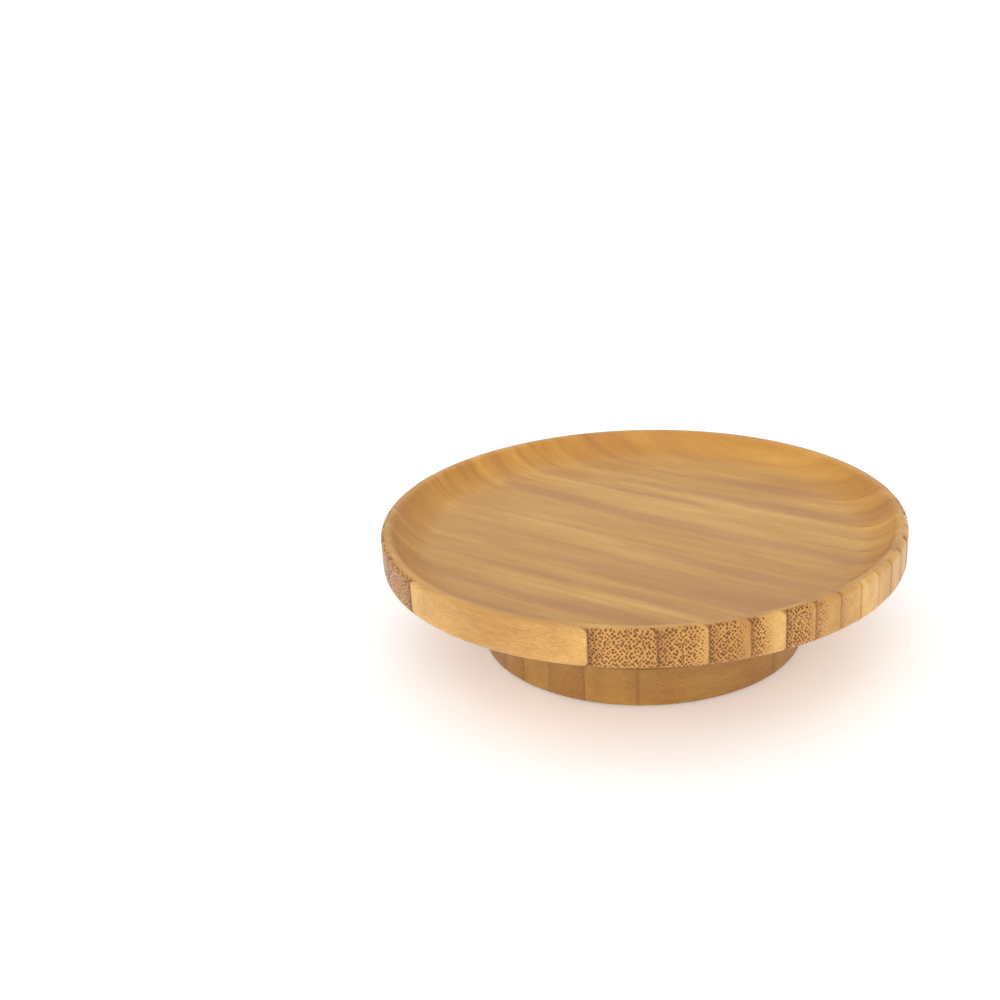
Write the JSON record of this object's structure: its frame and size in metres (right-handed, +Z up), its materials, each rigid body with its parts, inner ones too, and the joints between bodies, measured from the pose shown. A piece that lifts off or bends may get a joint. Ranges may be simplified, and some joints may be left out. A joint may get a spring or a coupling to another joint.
{
  "type": "lazy susan turntable",
  "caption": "Small bamboo lazy susan: a shallow dished plate with a conical underside that spins on a ring bearing hidden in a round foot.",
  "frame": {"origin": "on the table, under the middle of the foot, at the height of the rubber pads' lower faces", "axes": "+Z up along the spin axis; +X and +Y along the two lines of foot screws"},
  "size_m": [0.15, 0.15, 0.038],
  "materials": {
    "plate_bamboo": "satin lacquered laminated bamboo, vertical grain",
    "foot_bamboo": "satin lacquered laminated bamboo, vertical grain",
    "race_aluminium": "turned, satin",
    "cage_nylon": "moulded nylon",
    "ball_steel": "polished",
    "screw_steel": "zinc plated",
    "pad_rubber": "matt"
  },
  "bodies": {
    "base": {"foot_ring": "foot_bamboo", "bearing_outer_ring": "race_aluminium", "ball_fill_plug": "screw_steel", "outer_ring_screw_1": "screw_steel", "outer_ring_screw_2": "screw_steel", "outer_ring_screw_3": "screw_steel", "outer_ring_screw_4": "screw_steel", "rubber_pad_1": "pad_rubber", "rubber_pad_2": "pad_rubber", "rubber_pad_3": "pad_rubber", "rubber_pad_4": "pad_rubber"},
    "turntable": {"plate": "plate_bamboo", "bearing_inner_ring": "race_aluminium", "inner_ring_screw_1": "screw_steel", "inner_ring_screw_2": "screw_steel", "inner_ring_screw_3": "screw_steel", "inner_ring_screw_4": "screw_steel"},
    "ball_train": {"ball_cage": "cage_nylon", "bearing_ball_01": "ball_steel", "bearing_ball_02": "ball_steel", "bearing_ball_03": "ball_steel", "bearing_ball_04": "ball_steel", "bearing_ball_05": "ball_steel", "bearing_ball_06": "ball_steel", "bearing_ball_07": "ball_steel", "bearing_ball_08": "ball_steel", "bearing_ball_09": "ball_steel", "bearing_ball_10": "ball_steel", "bearing_ball_11": "ball_steel", "bearing_ball_12": "ball_steel", "bearing_ball_13": "ball_steel", "bearing_ball_14": "ball_steel", "bearing_ball_15": "ball_steel", "bearing_ball_16": "ball_steel"}
  },
  "joints": [
    {"name": "plate_spin", "type": "hinge", "parent": "base", "child": "turntable", "pos_m": [0, 0, 0.00915], "axis": [0, 0, 1], "continuous": true},
    {"name": "cage_spin", "type": "hinge", "parent": "base", "child": "ball_train", "pos_m": [0, 0, 0.00915], "axis": [0, 0, 1], "continuous": true}
  ],
  "couplings": [
    {"joint": "cage_spin", "follows": "plate_spin", "ratio": 0.4676}
  ]
}
